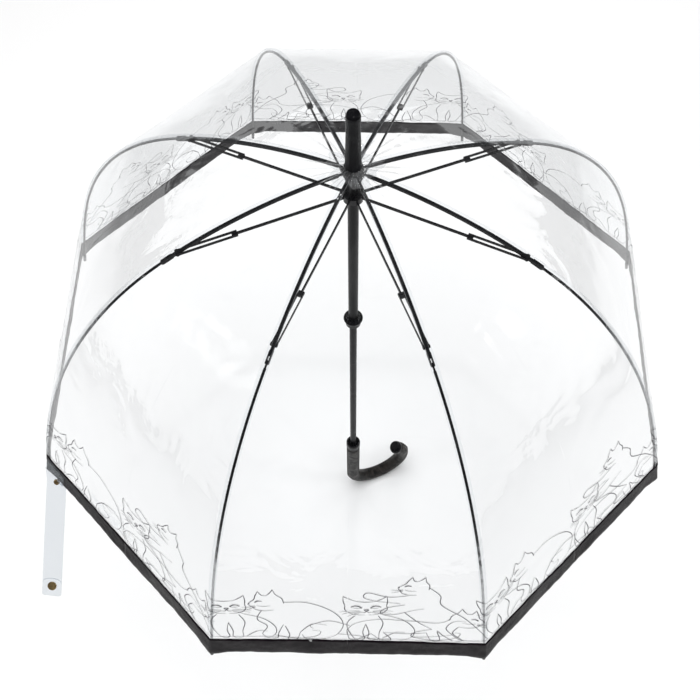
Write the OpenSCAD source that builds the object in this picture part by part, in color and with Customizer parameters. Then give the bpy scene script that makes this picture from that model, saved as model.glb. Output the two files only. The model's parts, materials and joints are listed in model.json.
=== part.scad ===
// Clear dome ("bubble") umbrella with eight ribs, shown open.
// The origin is the middle of the straight hand grip, on the shaft axis; +Z runs up the shaft.
// Rib pieces are drawn in a vertical plane, with X pointing away from the shaft, and turned round the shaft.

/* [Shaft] */
// Distance from the rib hinges down to the top of the handle collar
shaft_len = 700; // [600:1:800]
// Outside diameter of the shaft tube
shaft_d = 9.5; // [8:0.1:12]
// Wall of the shaft tube
shaft_wall = 0.8; // [0.6:0.1:1.2]
// Length of the ferrule above the canopy
ferrule_len = 78; // [50:1:100]
// Diameter of the ferrule at its base
ferrule_base_d = 18.3; // [16:0.1:22]
// Diameter of the straight end of the ferrule
ferrule_end_d = 14.9; // [14:0.1:18]
// Length of the straight end of the ferrule
ferrule_end_len = 26; // [15:1:35]

/* [Handle] */
// Length of the straight part of the handle, from the collar's top to the bend
grip_len = 132; // [100:1:160]
// Diameter of the handle
grip_d = 21; // [18:0.5:26]
// Radius of the crook, to the middle of the handle
crook_r = 46; // [36:1:60]
// How far round the crook bends
crook_bend = 220; // [170:1:225]
// Direction in which the crook points, anticlockwise from +X
crook_turn = 24; // [-45:1:45]
// Height of the collar at the top of the handle
collar_h = 16; // [10:1:24]

/* [Canopy frame] */
// Length of the inner rib, from its hinge to the flex joint
rib_len = 206; // [150:1:240]
// Slope of the inner rib at its hinge, below level
rib_slope_in = 1.5; // [0:0.1:10]
// Slope of the inner rib at the flex joint, below level
rib_slope_out = 27; // [18:0.5:35]
// Length of the outer spring rod along its curve
rod_len = 440; // [350:1:500]
// Slope of the spring rod at the hem, below level
rod_slope_end = 76.3; // [60:0.1:85]
// Diameter of the spring rod
rod_d = 2.8; // [2.4:0.1:3.4]
// Width of the inner rib's channel
rib_w = 3.2; // [3:0.1:4]
// Depth of the inner rib's channel
rib_h = 3.2; // [3:0.1:4]
// Sheet thickness of the inner rib
rib_t = 0.6; // [0.5:0.1:0.7]
// Distance along the rib from the flex joint back to the stretcher rivet
rivet_back = 18; // [16:1:60]

/* [Runner] */
// Depth of the runner's stretcher hinges below the rib hinges
runner_drop = 40; // [36:1:70]
// Wall of the runner sleeve
sleeve_wall = 1.15; // [0.9:0.05:1.8]
// Room between the sleeve's lower end and the collar when the umbrella is closed
closed_room = 63.2; // [60:0.1:120]
// Diameter of the finger flange
flange_d = 24.4; // [20:0.1:30]
// Diameter of the lower ring under the flange
ring_d = 19.3; // [16:0.1:22]

/* [Film] */
// Thickness of the clear film, drawn thicker than the real one
film_t = 0.4; // [0.3:0.1:1]
// Distance of the film from the middle line of the ribs
film_off = 3.5; // [3.3:0.1:5]
// Width of the gap between neighbouring film panels
film_gap = 0.6; // [0.3:0.1:1.5]

/* [Tie strap] */
// Length of the tie strap
strap_len = 169; // [120:1:220]
// Width of the tie strap
strap_w = 25.5; // [15:0.5:30]
// Thickness of the tie strap
strap_t = 1.2; // [0.8:0.1:2]
// Forward lean of the strap away from hanging straight down
strap_lean = 49; // [0:1:80]
// Sideways lean of the strap, towards -X
strap_skew = 5.5; // [-20:0.5:20]

/* [Hidden] */
$fn = 48;
RIBS = 8;

// Turn of the first rib, and the angle between a rib and the middle of the panel beside it
first_rib = -67.5;
step = 360 / RIBS;
half = step / 2;
apex_z = shaft_len + grip_len / 2;
shaft_r = shaft_d / 2;
slide_gap = 0.1;
sleeve_r = shaft_r + slide_gap + sleeve_wall;
pin_gap = 0.05;

// Hinge wires of the notch and of the runner, and the blades that hang on them
wire_ring_r = sleeve_r + 3;
wire_r = 0.5;
eye_r = 1.7;
wire_bore_r = wire_r + 0.1;
blade_t = 1.6;
slot_w = blade_t + 0.4;
hub_r = wire_ring_r + 2.4;
hub_core_r = wire_ring_r - eye_r - 0.6;
notch_h = 6;
crown_h = 9;
blade_len = 8;

// Flex joint between rib and spring rod
cheek_w = rib_w + 0.4;
cheek_gap = blade_t + 0.3;
cheek_len = 12;
cheek_r = 2.4;
flex_pin_r = 0.8;
rod_eye_r = 1.9;
rod_start = 7;
tip_r = 2.2;
tip_len = 7;
ROD_ARCS = 6;
ROD_RINGS = 18;
CROOK_RINGS = 22;

// Fork of the stretcher
fork_gap = cheek_w + 0.8;
tine_t = 0.9;
fork_w = fork_gap + 2 * tine_t;
fork_len = 60;
stretcher_h = 3.4;
rivet_r = 1.9;
rivet_h = 0.5;

// Spring catches, which stand out of the back of the shaft
catch_t = 1.5;
catch_out = 3.8;
catch_len = 17;
catch_pivot = 26;
catch_pin_r = 0.7;
catch_gap = 0.4;
catch_slot_w = catch_t + 0.4;
window_up = 26;
window_h = catch_len + 3;

washer_r = 14;
washer_h = 1;
fold_reach = 20;

// Inner rib: an arc whose slope grows evenly
rib_curve_r = rib_len / ((rib_slope_out - rib_slope_in) * PI / 180);
function rib_slope(s) = rib_slope_in + (rib_slope_out - rib_slope_in) * s / rib_len;
function rib_point(s) = [
    wire_ring_r + rib_curve_r * (sin(rib_slope(s)) - sin(rib_slope_in)),
    apex_z + rib_curve_r * (cos(rib_slope(s)) - cos(rib_slope_in))
];
joint = rib_point(rib_len);

// Spring rod: a run of arcs whose curvature falls to nothing at the hem, as in a bent cantilever
arc_len = rod_len / ROD_ARCS;
function rod_slope(k) = rib_slope_out + (rod_slope_end - rib_slope_out) * (1 - pow(1 - k / ROD_ARCS, 2));
function rod_curve_r(k) = arc_len / ((rod_slope(k + 1) - rod_slope(k)) * PI / 180);
function arc_end(p, r, a, b) = [p[0] + r * (sin(b) - sin(a)), p[1] + r * (cos(b) - cos(a))];
function rod_node(k) = k == 0
    ? joint
    : arc_end(rod_node(k - 1), rod_curve_r(k - 1), rod_slope(k - 1), rod_slope(k));
function rod_slope_at(s) = let(k = min(floor(s / arc_len), ROD_ARCS - 1))
    rod_slope(k) + (rod_slope(k + 1) - rod_slope(k)) * (s / arc_len - k);
function rod_point(s) = let(k = min(floor(s / arc_len), ROD_ARCS - 1))
    arc_end(rod_node(k), rod_curve_r(k), rod_slope(k), rod_slope_at(s));

rod_stations = [
    for (j = [0:ROD_RINGS]) let(s = rod_start + (rod_len - rod_start) * j / ROD_RINGS, slope = rod_slope_at(s))
        [each rod_point(s), sin(slope), cos(slope)]
];

// Any point of the frame's middle line, by its distance from the rib hinge
function line_slope(s) = s <= rib_len ? rib_slope(s) : rod_slope_at(s - rib_len);
function line_point(s) = s <= rib_len ? rib_point(s) : rod_point(s - rib_len);
function film_point(s, off) = line_point(s) + off * [sin(line_slope(s)), cos(line_slope(s))];
hem = rod_point(rod_len);

// Stretcher, from the runner's wire to the rivet on the rib
rivet = rib_point(rib_len - rivet_back);
runner_z = apex_z - runner_drop;
stretcher_run = rivet - [wire_ring_r, runner_z];
stretcher_len = norm(stretcher_run);
stretcher_rise = atan2(stretcher_run[1], stretcher_run[0]);
sleeve_top = runner_z + crown_h / 2;

// Closed position: how far the runner slides down when the ribs fold by rib_fold
rib_fold = 70;
rivet_arm = rivet - [wire_ring_r, apex_z];
folded_rivet = [
    rivet_arm[0] * cos(rib_fold) + rivet_arm[1] * sin(rib_fold),
    rivet_arm[1] * cos(rib_fold) - rivet_arm[0] * sin(rib_fold)
];
travel = sqrt(pow(stretcher_len, 2) - pow(folded_rivet[0], 2)) - folded_rivet[1] - runner_drop;

bend_z = -grip_len / 2;
collar_top = grip_len / 2;
sleeve_end = collar_top + closed_room + travel;
bottom_catch_z = sleeve_end - travel + window_up + catch_gap;
grip_top = collar_top - collar_h;
handle_stations = [
    [0, grip_top, 1, 0],
    for (j = [0:CROOK_RINGS]) let(turn = crook_bend * j / CROOK_RINGS)
        [crook_r * (1 - cos(turn)), bend_z - crook_r * sin(turn), cos(turn), sin(turn)]
];
cap_h = 4;
cap_round = 4.5;
ferrule_z = apex_z + film_off + film_t + washer_h + 0.3;
tube_top = ferrule_z + ferrule_len / 2;
tube_in_handle = 90;
tube_end = collar_top - tube_in_handle;

module each_rib() {
    for (i = [0:RIBS - 1]) rotate([0, 0, first_rib + i * step]) children();
}

module at_rib(i) {
    rotate([0, 0, first_rib + (i - 1) * step]) children();
}

// A tube round the shaft axis between two heights
module ring(z0, z1, r_out, r_in) {
    translate([0, 0, z0]) difference() {
        cylinder(h = z1 - z0, r = r_out);
        translate([0, 0, -1]) cylinder(h = z1 - z0 + 2, r = r_in);
    }
}

// A flat outline in the rib's plane, given a thickness across it
module plate(t) {
    rotate([90, 0, 0]) linear_extrude(height = t, center = true) children();
}

// Moves a plate so that its X axis runs down a slope from a point of the rib's plane
module along(p, slope) {
    translate([p[0], 0, p[1]]) rotate([0, slope, 0]) children();
}

// Sweeps a section along an arc of the frame, from slope a to slope b
module bent(p, r, a, b) {
    translate([p[0] - r * sin(a), 0, p[1] - r * cos(a)])
        rotate([0, b - 90, 0])
            rotate([90, 0, 0])
                rotate_extrude(angle = b - a) translate([r, 0]) children();
}

// A closed round tube along stations of the plane: each is [x, z, normal x, normal z]
module swept(stations, r, sides) {
    rings = len(stations) - 1;
    points = [
        for (s = stations) for (k = [0:sides - 1]) let(out = r * cos(360 * k / sides))
            [s[0] + out * s[2], r * sin(360 * k / sides), s[1] + out * s[3]]
    ];
    walls = [
        for (j = [0:rings - 1]) for (k = [0:sides - 1]) let(next = (k + 1) % sides)
            [j * sides + k, j * sides + next, (j + 1) * sides + next, (j + 1) * sides + k]
    ];
    first = [for (k = [sides - 1:-1:0]) k];
    last = [for (k = [0:sides - 1]) rings * sides + k];
    polyhedron(points = points, faces = concat(walls, [first], [last]), convexity = 6);
}

module wire(z) {
    translate([0, 0, z]) rotate_extrude() translate([wire_ring_r, 0]) circle(r = wire_r);
}

// Slotted hub that carries a hinge wire
module hub(z, h, bore_r) {
    difference() {
        ring(z - h / 2, z + h / 2, hub_r, bore_r);
        each_rib() translate([hub_core_r, -slot_w / 2, z - h]) cube([hub_r, slot_w, 2 * h]);
        wire(z);
    }
}

module shaft_tube() {
    color("dimgray") difference() {
        ring(tube_end, tube_top, shaft_r, shaft_r - shaft_wall);
        catch_cuts(sleeve_end - catch_gap, -1);
        catch_cuts(bottom_catch_z, 1);
    }
}

// Slot and pin hole for one catch; its flat face is at z and its pivot lies towards dir
module catch_cuts(z, dir) {
    slot_z = dir < 0 ? z - catch_len - 1 : z - 0.6;
    translate([-catch_slot_w / 2, 0, slot_z]) cube([catch_slot_w, shaft_d, catch_len + 1.6]);
    translate([-shaft_d, 0, z + dir * catch_pivot]) rotate([0, 90, 0]) cylinder(h = 2 * shaft_d, r = catch_pin_r);
}

module catch_pins() {
    color("silver") for (z = [sleeve_end - catch_gap - catch_pivot, bottom_catch_z + catch_pivot])
        translate([-shaft_r + 0.15, 0, z]) rotate([0, 90, 0]) cylinder(h = shaft_d - 0.3, r = catch_pin_r);
}

// Spring catch, flat face at the origin, sloping back towards its pivot
module catch_plate() {
    out = shaft_r + catch_out;
    difference() {
        rotate([90, 0, 90]) union() {
            linear_extrude(height = catch_t, center = true) polygon([
                [0.8, 0], [out, 0], [out, -2], [shaft_r - 1.6, -catch_len],
                [1.6, -catch_pivot - 0.5], [-1.6, -catch_pivot - 0.5], [-1.2, -catch_len]
            ]);
            translate([0, -catch_pivot]) cylinder(h = catch_t, r = 2.4, center = true);
        }
        translate([-catch_t, 0, -catch_pivot]) rotate([0, 90, 0])
            cylinder(h = 2 * catch_t, r = catch_pin_r + pin_gap);
    }
}

module top_catch() {
    color("silver") translate([0, 0, sleeve_end - catch_gap]) catch_plate();
}

module bottom_catch() {
    color("silver") translate([0, 0, bottom_catch_z]) mirror([0, 0, 1]) catch_plate();
}

module ferrule() {
    base_r = ferrule_base_d / 2;
    end_r = ferrule_end_d / 2;
    foot_h = 3;
    color("black") difference() {
        union() {
            translate([0, 0, ferrule_z]) cylinder(h = foot_h, r = base_r);
            translate([0, 0, ferrule_z + foot_h])
                cylinder(h = ferrule_len - ferrule_end_len - foot_h, r1 = base_r, r2 = end_r);
            translate([0, 0, ferrule_z + ferrule_len - ferrule_end_len])
                cylinder(h = ferrule_end_len, r = end_r);
        }
        translate([0, 0, ferrule_z - 1]) cylinder(h = tube_top - ferrule_z + 1, r = shaft_r);
    }
}

module ferrule_tip() {
    r = ferrule_end_d / 2 - 0.5;
    color("black") translate([0, 0, ferrule_z + ferrule_len]) rotate_extrude() union() {
        square([r - 1.5, 3]);
        square([r, 1.5]);
        translate([r - 1.5, 1.5]) intersection() {
            circle(r = 1.5);
            square(2);
        }
    }
}

module crown_washer() {
    z = apex_z + film_off + film_t + 0.2;
    color("whitesmoke") ring(z, z + washer_h, washer_r, shaft_r);
}

module top_notch() {
    color("black") hub(apex_z, notch_h, shaft_r);
}

module notch_wire() {
    color("silver") wire(apex_z);
}

module handle_collar() {
    color("black") ring(grip_top, collar_top, grip_d / 2 + 0.4, shaft_r);
}

module handle_grip() {
    color("saddlebrown") difference() {
        rotate([0, 0, crook_turn]) swept(handle_stations, grip_d / 2, 24);
        translate([0, 0, tube_end]) cylinder(h = grip_len, r = shaft_r);
    }
}

module handle_cap() {
    r = grip_d / 2 + 0.4;
    color("black") rotate([0, 0, crook_turn]) translate([crook_r, 0, bend_z])
        rotate([0, 180 - crook_bend, 0]) translate([crook_r, 0, 0]) rotate_extrude() union() {
            square([r, cap_h]);
            translate([0, cap_h]) square([r - cap_round, cap_round]);
            translate([r - cap_round, cap_h]) intersection() {
                circle(r = cap_round);
                square(cap_round);
            }
        }
}

module runner_sleeve() {
    color("black") difference() {
        ring(sleeve_end, sleeve_top, sleeve_r, shaft_r + slide_gap);
        translate([-catch_slot_w / 2, 0, sleeve_end + window_up])
            cube([catch_slot_w, 2 * sleeve_r, window_h]);
    }
}

module runner_crown() {
    color("black") hub(runner_z, crown_h, sleeve_r);
}

module runner_wire() {
    color("silver") wire(runner_z);
}

module runner_grip() {
    flange_h = 6;
    ring_h = 10;
    round_r = flange_h / 2;
    color("black") difference() {
        translate([0, 0, sleeve_end]) rotate_extrude() union() {
            square([ring_d / 2 - 1, ring_h]);
            translate([0, 1]) square([ring_d / 2, ring_h - 2]);
            translate([0, ring_h]) square([flange_d / 2 - round_r, flange_h]);
            translate([flange_d / 2 - round_r, ring_h + round_r]) circle(r = round_r);
        }
        translate([0, 0, sleeve_end - 1]) cylinder(h = 2 * ring_h + flange_h, r = sleeve_r);
    }
}

module rib() {
    h = rib_h / 2;
    w = rib_w / 2;
    start = blade_len - 1;
    color("dimgray") difference() {
        union() {
            bent(rib_point(start), rib_curve_r, rib_slope(start), rib_slope(rib_len - cheek_len / 2))
                polygon([
                    [-h, -w], [h, -w], [h, w], [-h, w],
                    [-h, w - rib_t], [h - rib_t, w - rib_t], [h - rib_t, rib_t - w], [-h, rib_t - w]
                ]);
            along(rib_point(0), rib_slope_in) plate(blade_t) union() {
                circle(r = eye_r);
                translate([0, -h + 0.4]) square([blade_len + 2, rib_h - 0.6]);
            }
            for (side = [-1, 1]) translate([0, side * (cheek_w + cheek_gap) / 4, 0])
                along(joint, rib_slope_out) plate((cheek_w - cheek_gap) / 2) union() {
                    circle(r = cheek_r);
                    translate([-cheek_len, -cheek_r]) square([cheek_len, 2 * cheek_r]);
                }
            translate([joint[0], 0, joint[1]]) rotate([90, 0, 0])
                cylinder(h = cheek_w, r = flex_pin_r, center = true);
        }
        translate([wire_ring_r, 0, apex_z]) rotate([90, 0, 0])
            cylinder(h = 2 * blade_t, r = wire_bore_r, center = true);
    }
}

module spring_rod() {
    eye_slope = (rib_slope_out + rod_slope_at(rod_start)) / 2;
    color("black") union() {
        swept(rod_stations, rod_d / 2, 10);
        difference() {
            along(joint, eye_slope) plate(blade_t) union() {
                circle(r = rod_eye_r);
                translate([0, -1.1]) square([rod_start + 1, 2.2]);
            }
            translate([joint[0], 0, joint[1]]) rotate([90, 0, 0])
                cylinder(h = 2 * blade_t, r = flex_pin_r + pin_gap, center = true);
        }
    }
    color("black") along(hem, rod_slope_end) rotate([0, 90, 0]) union() {
        cylinder(h = tip_len, r = tip_r);
        translate([0, 0, tip_len]) sphere(r = tip_r);
    }
}

module stretcher() {
    h = stretcher_h / 2;
    fork = stretcher_len - fork_len;
    color("gray") along([wire_ring_r, runner_z], -stretcher_rise) difference() {
        union() {
            plate(blade_t) union() {
                circle(r = eye_r);
                translate([0, -h]) square([fork, 2 * h]);
            }
            translate([fork - 4, -fork_w / 2, -h]) cube([6, fork_w, 2 * h]);
            for (side = [-1, 1]) {
                translate([0, side * (fork_gap + tine_t) / 2, 0]) plate(tine_t) union() {
                    translate([fork, -h]) square([fork_len, 2 * h]);
                    translate([stretcher_len, 0]) circle(r = 2.2);
                }
                translate([stretcher_len, side * (fork_w + rivet_h) / 2, 0]) rotate([90, 0, 0])
                    cylinder(h = rivet_h, r = rivet_r, center = true);
            }
        }
        rotate([90, 0, 0]) cylinder(h = 2 * blade_t, r = wire_bore_r, center = true);
    }
}

// A point of the film: across = 0 on the rib, 1 or -1 at the middle of the panel beside it
function film_at(s, off, across) = let(
    p = film_point(s, off),
    reach = p[0] * sin(half),
    k = abs(across) * max(0, 1 - film_gap / 2 / reach)
) [
    p[0] - k * reach * sin(half),
    sign(across) * k * reach * cos(half),
    p[1]
];

// Two half panels that meet on a rib, from distance s0 to s1 on the rib and m0 to m1 at the middles
module film_sector(s0, s1, m0, m1, n) {
    offs = [film_off, film_off + film_t];
    points = [
        for (j = [0:n]) for (off = offs) for (a = [-1, 0, 1])
            film_at(a == 0 ? s0 + (s1 - s0) * j / n : m0 + (m1 - m0) * j / n, off, a)
    ];
    // Six points at each station: three on the inner side, then three on the outer side
    skin = [
        for (j = [0:n - 1]) for (c = [0, 1]) each [
            [6 * j + c, 6 * j + 6 + c, 6 * j + 7 + c, 6 * j + 1 + c],
            [6 * j + 3 + c, 6 * j + 4 + c, 6 * j + 10 + c, 6 * j + 9 + c]
        ]
    ];
    sides = [
        for (j = [0:n - 1]) each [
            [6 * j, 6 * j + 3, 6 * j + 9, 6 * j + 6],
            [6 * j + 2, 6 * j + 8, 6 * j + 11, 6 * j + 5]
        ]
    ];
    last = 6 * n;
    ends = [
        [0, 1, 4, 3], [1, 2, 5, 4],
        [last, last + 3, last + 4, last + 1], [last + 1, last + 4, last + 5, last + 2]
    ];
    polyhedron(points = points, faces = concat(skin, sides, ends), convexity = 4);
}

module film_crown() {
    color("lightcyan", 0.3) film_sector(0, rib_len - film_gap / 2, 0, rib_len + fold_reach - film_gap / 2, 9);
}

module film_skirt() {
    end = rib_len + rod_len;
    color("lightcyan", 0.3)
        film_sector(rib_len + film_gap / 2, end, rib_len + fold_reach + film_gap / 2, end, 14);
}

// Tie strap, hung from the hem beside its rib, with its length along the lean
strap_rib = 7;
strap_turn = first_rib + (strap_rib - 1) * step;
strap_from_tip = [9.5, -10, -4];
strap_top = [hem[0] * cos(strap_turn), hem[0] * sin(strap_turn), hem[1]] + strap_from_tip;
module at_strap() {
    translate(strap_top) rotate([-strap_lean, 0, 0]) rotate([0, strap_skew, 0]) children();
}

// Press studs of the strap: how far they are from its ends, and their radii
rivet_down = 8;
rivet_head_r = 4.2;
snap_up = 14;
snap_head_r = 6;
stem_r = 1.6;
head_h = 1;
module tie_strap() {
    color("whitesmoke") at_strap() difference() {
        translate([-strap_w / 2, -strap_t / 2, -strap_len]) cube([strap_w, strap_t, strap_len]);
        for (z = [-rivet_down, snap_up - strap_len])
            translate([0, strap_t, z]) rotate([90, 0, 0]) cylinder(h = 2 * strap_t, r = stem_r);
    }
}

// A press stud: a stem through the strap with a head on each side
module stud(z, head_r) {
    color("goldenrod") at_strap() translate([0, 0, z]) rotate([90, 0, 0]) union() {
        cylinder(h = strap_t, r = stem_r, center = true);
        for (side = [-1, 1]) translate([0, 0, side * (strap_t + head_h) / 2])
            cylinder(h = head_h, r = head_r, center = true);
    }
}

module strap_rivet() {
    stud(-rivet_down, rivet_head_r);
}

module strap_snap() {
    stud(snap_up - strap_len, snap_head_r);
}

shaft_tube();
ferrule();
ferrule_tip();
crown_washer();
top_notch();
notch_wire();
catch_pins();
handle_collar();
handle_grip();
handle_cap();
runner_sleeve();
runner_crown();
runner_wire();
runner_grip();
top_catch();
bottom_catch();
tie_strap();
strap_rivet();
strap_snap();
for (i = [1:RIBS]) {
    at_rib(i) rib();
    at_rib(i) spring_rod();
    at_rib(i) stretcher();
    at_rib(i) film_crown();
    at_rib(i) film_skirt();
}
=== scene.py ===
"""Looks of an open clear dome umbrella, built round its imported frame.

The frame gives every place: joint anchors, node boxes and the whole box. Lengths are in metres.
A rib's plane stands upright through the shaft, and a distance s runs along the rib from its hinge.
"""

from __future__ import annotations

import json
import logging
import math
from collections.abc import Callable, Iterator, Sequence
from dataclasses import dataclass, field
from enum import Enum

import bmesh
import bpy
from mathutils import Matrix, Vector, noise

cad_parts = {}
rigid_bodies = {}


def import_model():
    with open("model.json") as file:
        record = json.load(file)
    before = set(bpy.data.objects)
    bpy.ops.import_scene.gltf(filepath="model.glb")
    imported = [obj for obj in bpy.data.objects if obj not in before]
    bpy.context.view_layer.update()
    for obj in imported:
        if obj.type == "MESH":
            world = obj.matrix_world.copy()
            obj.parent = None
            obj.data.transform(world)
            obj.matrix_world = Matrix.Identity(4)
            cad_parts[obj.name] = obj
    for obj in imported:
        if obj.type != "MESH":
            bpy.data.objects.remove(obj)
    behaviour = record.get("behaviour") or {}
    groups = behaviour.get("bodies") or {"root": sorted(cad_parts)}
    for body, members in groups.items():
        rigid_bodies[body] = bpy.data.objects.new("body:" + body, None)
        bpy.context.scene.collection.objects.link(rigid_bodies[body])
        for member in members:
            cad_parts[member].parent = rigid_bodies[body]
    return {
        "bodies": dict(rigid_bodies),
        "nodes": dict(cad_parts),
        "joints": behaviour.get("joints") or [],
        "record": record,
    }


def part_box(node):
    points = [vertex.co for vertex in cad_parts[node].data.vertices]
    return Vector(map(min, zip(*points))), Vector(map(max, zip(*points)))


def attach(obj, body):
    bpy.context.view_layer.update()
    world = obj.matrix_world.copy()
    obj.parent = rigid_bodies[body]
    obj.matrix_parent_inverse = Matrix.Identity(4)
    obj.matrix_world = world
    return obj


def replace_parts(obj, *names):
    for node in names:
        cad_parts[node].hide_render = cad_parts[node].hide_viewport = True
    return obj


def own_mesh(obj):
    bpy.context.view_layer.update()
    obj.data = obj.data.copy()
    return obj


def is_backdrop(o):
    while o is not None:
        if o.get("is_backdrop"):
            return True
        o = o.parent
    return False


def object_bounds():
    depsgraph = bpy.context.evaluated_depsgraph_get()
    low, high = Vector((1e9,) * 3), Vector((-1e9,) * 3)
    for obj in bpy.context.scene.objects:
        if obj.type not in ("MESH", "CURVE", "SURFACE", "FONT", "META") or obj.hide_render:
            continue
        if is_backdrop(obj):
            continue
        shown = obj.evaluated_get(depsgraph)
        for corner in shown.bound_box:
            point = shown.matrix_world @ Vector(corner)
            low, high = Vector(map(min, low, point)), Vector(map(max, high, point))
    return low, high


LOG = logging.getLogger("umbrella")
RIBS = 8
HALF_STEP = math.pi / RIBS
UP = Vector((0.0, 0.0, 1.0))
SHARP = math.radians(35.0)
TINY = 1e-9

Node = bpy.types.Node
Socket = bpy.types.NodeSocket
Material = bpy.types.Material
Piece = bpy.types.Object
Mesh = bmesh.types.BMesh
Place = Callable[[float, float], Vector]
Point = tuple[float, float]
Triple = tuple[float, float, float]
Head = tuple[float, float, float, float]


class Weave(Enum):
    """Surface patterns that a cloth or hide finish can show."""

    SATIN = "satin"
    LEATHER = "leather"


# ---------------------------------------------------------------- materials


@dataclass
class Shader:
    """A material under construction, with short ways to add and join nodes.

    Args:
        name: Name of the material.
    """

    name: str
    material: Material = field(init=False)
    tree: bpy.types.NodeTree = field(init=False)

    def __post_init__(self) -> None:
        """Starts an empty node tree."""
        self.material = bpy.data.materials.new(self.name)
        self.material.use_nodes = True
        self.tree = self.material.node_tree
        self.tree.nodes.clear()

    def add(self, kind: str, inputs: dict[str, object] | None = None, **settings: object) -> Node:
        """Adds a node.

        Args:
            kind: The node's type name without its ShaderNode prefix.
            inputs: Values or sockets for the named inputs.
            **settings: Properties of the node itself.

        Returns:
            The new node.
        """
        node = self.tree.nodes.new("ShaderNode" + kind)
        for key, value in settings.items():
            setattr(node, key, value)
        for key, value in (inputs or {}).items():
            socket = node.inputs[int(key)] if key.isdigit() else node.inputs[key]
            if isinstance(value, Socket):
                self.tree.links.new(value, socket)
            else:
                socket.default_value = value
        return node

    def coords(self, scale: Triple = (1.0, 1.0, 1.0), uv: bool = False) -> Socket:
        """Gives the piece's own coordinates, stretched.

        Args:
            scale: How much each axis is multiplied by.
            uv: Whether to use the piece's UV map, which is in metres.

        Returns:
            The vector socket.
        """
        source = self.add("TexCoord").outputs["UV" if uv else "Object"]
        return self.add("Mapping", {"Vector": source, "Scale": scale}).outputs["Vector"]

    def noise(
        self, scale: float, detail: float = 3.0, rough: float = 0.5, warp: float = 0.0, at: object = None
    ) -> Socket:
        """Adds a noise texture.

        Args:
            scale: Cells to the metre.
            detail: Number of finer layers.
            rough: Strength of the finer layers.
            warp: Distortion.
            at: Vector socket, or None for the object's coordinates.

        Returns:
            The value socket, about 0.5 on average.
        """
        inputs = {"Vector": at or self.coords(), "Scale": scale, "Detail": detail}
        inputs |= {"Roughness": rough, "Distortion": warp}
        return self.add("TexNoise", inputs).outputs[0]

    def math(self, operation: str, a: object, b: object = 0.0, clamp: bool = False) -> Socket:
        """Adds a math node and returns its value."""
        return self.add("Math", {"0": a, "1": b}, operation=operation, use_clamp=clamp).outputs[0]

    def fit(self, value: object, low: float, high: float, new_low: float, new_high: float) -> Socket:
        """Maps a value from one range to another and clamps it."""
        inputs = {"Value": value, "From Min": low, "From Max": high, "To Min": new_low, "To Max": new_high}
        return self.add("MapRange", inputs).outputs["Result"]

    def blend(self, factor: object, a: object, b: object) -> Socket:
        """Mixes two colours by a factor."""
        node = self.add("Mix", {"Factor": factor}, data_type="RGBA")
        for socket, value in ((node.inputs[6], a), (node.inputs[7], b)):
            if isinstance(value, Socket):
                self.tree.links.new(value, socket)
            else:
                socket.default_value = (*value, 1.0)
        return node.outputs[2]

    def bump(self, height: object, distance: float, strength: float = 1.0, under: object = None) -> Socket:
        """Adds a bump node.

        Args:
            height: Height socket.
            distance: Height in metres of a value of one.
            strength: Share of the bump that is used.
            under: Normal of a coarser bump below this one.

        Returns:
            The normal socket.
        """
        inputs = {"Height": height, "Distance": distance, "Strength": strength}
        if under is not None:
            inputs["Normal"] = under
        return self.add("Bump", inputs).outputs["Normal"]

    def close(self, surface: Socket) -> Material:
        """Joins a surface to the output and returns the material."""
        self.add("OutputMaterial", {"Surface": surface})
        return self.material


@dataclass(frozen=True)
class Metal:
    """Drawn or stamped metal with fine scratches and a little grime."""

    name: str
    colour: Triple
    dark: Triple
    roughness: float = 0.3
    metallic: float = 1.0

    def material(self) -> Material:
        """Builds the material."""
        s = Shader(self.name)
        grain = s.noise(900.0, 4.0, 0.6, at=s.coords((1.0, 1.0, 0.08)))
        patch = s.noise(70.0, 3.0)
        colour = s.blend(s.fit(patch, 0.35, 0.7, 0.0, 1.0), self.dark, self.colour)
        rough = s.fit(grain, 0.3, 0.7, self.roughness - 0.08, self.roughness + 0.12)
        normal = s.bump(grain, 0.00006)
        inputs = {"Base Color": colour, "Roughness": rough, "Normal": normal, "Metallic": self.metallic}
        return s.close(s.add("BsdfPrincipled", inputs).outputs[0])


@dataclass(frozen=True)
class Paint:
    """Black lacquer, moulded plastic or waxed thread, with a faint orange peel and dust."""

    name: str
    colour: Triple = (0.002, 0.002, 0.003)
    dusty: Triple = (0.007, 0.007, 0.008)
    roughness: float = 0.12
    peel: float = 0.00005
    shine: float = 0.16

    def material(self) -> Material:
        """Builds the material."""
        s = Shader(self.name)
        dust = s.noise(120.0, 5.0, 0.65)
        peel = s.noise(650.0, 2.0)
        colour = s.blend(s.fit(dust, 0.45, 0.75, 0.0, 1.0), self.colour, self.dusty)
        rough = s.fit(dust, 0.35, 0.75, self.roughness, self.roughness + 0.18)
        inputs = {"Base Color": colour, "Roughness": rough, "Normal": s.bump(peel, self.peel)}
        inputs["Specular IOR Level"] = self.shine
        return s.close(s.add("BsdfPrincipled", inputs).outputs[0])


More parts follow.
